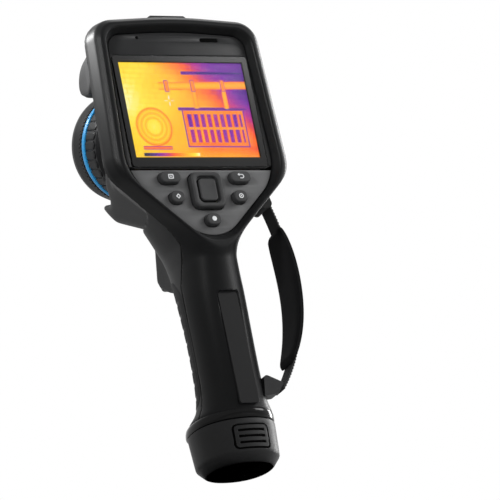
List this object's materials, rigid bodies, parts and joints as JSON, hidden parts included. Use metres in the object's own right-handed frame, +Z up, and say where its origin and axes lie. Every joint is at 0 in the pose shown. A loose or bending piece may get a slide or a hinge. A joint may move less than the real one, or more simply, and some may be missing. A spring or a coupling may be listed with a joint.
{
  "type": "thermal imaging camera",
  "caption": "Handheld thermal imaging camera with a rear display and keypad, upward-tilted infrared lens with focus ring, trigger grip, hand strap and slide-out battery foot.",
  "frame": {"origin": "on the standing foot, under the axis of the handle, in the mid plane", "axes": "+X to the right of a user facing the display, +Y forward from the display towards the lens, +Z up the handle"},
  "size_m": [0.1164, 0.1109, 0.2784],
  "materials": {
    "shell": "fine-grained dark grey moulding",
    "grip": "matte soft skin",
    "panel": "fine texture",
    "gloss": "polished black",
    "keypad": "satin grey",
    "key": "satin",
    "glass": "polished black cover glass",
    "picture": "lit picture in false colours",
    "board": "solder mask",
    "steel": "satin",
    "alu": "satin",
    "lens_black": "black anodised",
    "accent": "glossy blue",
    "optic": "teal coated infrared glass",
    "lamp": "clear lamp lens",
    "brass": "contacts",
    "battery": "dark grey case",
    "strap": "padded fabric",
    "webbing": "ribbed weave"
  },
  "bodies": {
    "housing": {"rear_housing": "shell", "front_housing": "shell", "grip_overmould": "grip", "side_panel_left": "panel", "side_panel_right": "panel", "hood_window": "gloss", "fascia": "panel", "keypad_panel": "keypad", "display_glass": "glass", "lcd_panel": "picture", "display_gasket": "panel", "label_plaque": "panel", "keypad_board": "board", "main_board": "board", "chassis_plate": "alu", "speaker": "shell", "port_hinge_pin": "steel", "port_board": "board", "usb_socket": "steel", "hdmi_socket": "steel", "card_slot": "steel", "laser_module": "panel", "laser_lens": "optic", "lens_mount": "alu", "mount_screws": "steel", "lens_barrel": "lens_black", "front_ring": "lens_black", "front_plate": "panel", "lamp_bar": "panel", "lamps": "lamp", "visible_camera": "optic", "retaining_ring": "lens_black", "front_lens": "optic", "detector_module": "alu", "shutter_motor": "brass", "trigger_board": "board", "handle_collar": "gloss", "contact_block": "brass", "strap_hardware": "shell", "strap_webbing": "webbing", "hand_strap": "strap"},
    "focus": {"focus_ring": "lens_black", "accent_ring": "accent"},
    "focus_group": {"rear_lens": "optic"},
    "trigger": {"trigger": "key"},
    "focus_button": {"focus_button": "key"},
    "key_archive": {"key_archive": "key"},
    "key_program": {"key_program": "key"},
    "key_back": {"key_back": "key"},
    "key_mode": {"key_mode": "key"},
    "key_power": {"key_power": "key"},
    "nav_gimbal": {"nav_gimbal": "steel"},
    "nav_pad": {"nav_pad": "key"},
    "nav_center": {"nav_center": "key"},
    "battery": {"battery_case": "battery", "battery_cap": "shell"},
    "latch_front": {"latch_front": "shell"},
    "latch_rear": {"latch_rear": "shell"},
    "port_cover": {"port_cover": "shell"},
    "shutter": {"shutter_blade": "steel"}
  },
  "joints": [
    {"name": "focus_turn", "type": "hinge", "parent": "housing", "child": "focus", "pos_m": [0, 0.05007, 0.22123], "axis": [0, 0.9272, 0.3746], "range_deg": [-60, 60]},
    {"name": "focus_travel", "type": "slide", "parent": "housing", "child": "focus_group", "axis": [0, 0.9272, 0.3746], "range_m": [-0.0015, 0.0015]},
    {"name": "trigger_pull", "type": "slide", "parent": "housing", "child": "trigger", "axis": [0, -0.9681, -0.2504], "range_m": [0, 0.002], "stiffness_N_per_m": 600, "springref_m": -0.002},
    {"name": "focus_button_press", "type": "slide", "parent": "housing", "child": "focus_button", "axis": [0, -0.9681, -0.2504], "range_m": [0, 0.0012], "stiffness_N_per_m": 600, "springref_m": -0.0012},
    {"name": "key_archive_press", "type": "slide", "parent": "housing", "child": "key_archive", "axis": [0, 1, 0], "range_m": [0, 0.0008], "stiffness_N_per_m": 900, "springref_m": -0.0008},
    {"name": "key_program_press", "type": "slide", "parent": "housing", "child": "key_program", "axis": [0, 1, 0], "range_m": [0, 0.0008], "stiffness_N_per_m": 900, "springref_m": -0.0008},
    {"name": "key_back_press", "type": "slide", "parent": "housing", "child": "key_back", "axis": [0, 1, 0], "range_m": [0, 0.0008], "stiffness_N_per_m": 900, "springref_m": -0.0008},
    {"name": "key_mode_press", "type": "slide", "parent": "housing", "child": "key_mode", "axis": [0, 1, 0], "range_m": [0, 0.0008], "stiffness_N_per_m": 900, "springref_m": -0.0008},
    {"name": "key_power_press", "type": "slide", "parent": "housing", "child": "key_power", "axis": [0, 1, 0], "range_m": [0, 0.0008], "stiffness_N_per_m": 900, "springref_m": -0.0008},
    {"name": "nav_tilt_updown", "type": "hinge", "parent": "housing", "child": "nav_gimbal", "pos_m": [0, -0.011, 0.163], "axis": [1, 0, 0], "range_deg": [-3, 3], "stiffness_Nm_per_rad": 0.08},
    {"name": "nav_tilt_sideways", "type": "hinge", "parent": "nav_gimbal", "child": "nav_pad", "pos_m": [0, -0.011, 0.163], "axis": [0, 0, 1], "range_deg": [-3, 3], "stiffness_Nm_per_rad": 0.08},
    {"name": "nav_center_press", "type": "slide", "parent": "nav_pad", "child": "nav_center", "axis": [0, 1, 0], "range_m": [0, 0.0008], "stiffness_N_per_m": 900, "springref_m": -0.0008},
    {"name": "battery_slide", "type": "slide", "parent": "housing", "child": "battery", "axis": [0, 0, -1], "range_m": [0, 0.11]},
    {"name": "latch_front_squeeze", "type": "slide", "parent": "battery", "child": "latch_front", "axis": [0, -1, 0], "range_m": [0, 0.0015], "stiffness_N_per_m": 800, "springref_m": -0.0015},
    {"name": "latch_rear_squeeze", "type": "slide", "parent": "battery", "child": "latch_rear", "axis": [0, 1, 0], "range_m": [0, 0.0015], "stiffness_N_per_m": 800, "springref_m": -0.0015},
    {"name": "port_cover_swing", "type": "hinge", "parent": "housing", "child": "port_cover", "pos_m": [-0.0112, 0.0157, 0.2763], "axis": [0, -1, 0], "range_deg": [0, 110]},
    {"name": "shutter_swing", "type": "hinge", "parent": "housing", "child": "shutter", "pos_m": [0.018, 0.02503, 0.21111], "axis": [0, -0.9272, -0.3746], "range_deg": [0, 55]}
  ],
  "couplings": [
    {"joint": "focus_travel", "follows": "focus_turn", "m_per_rad": 0.00143}
  ]
}
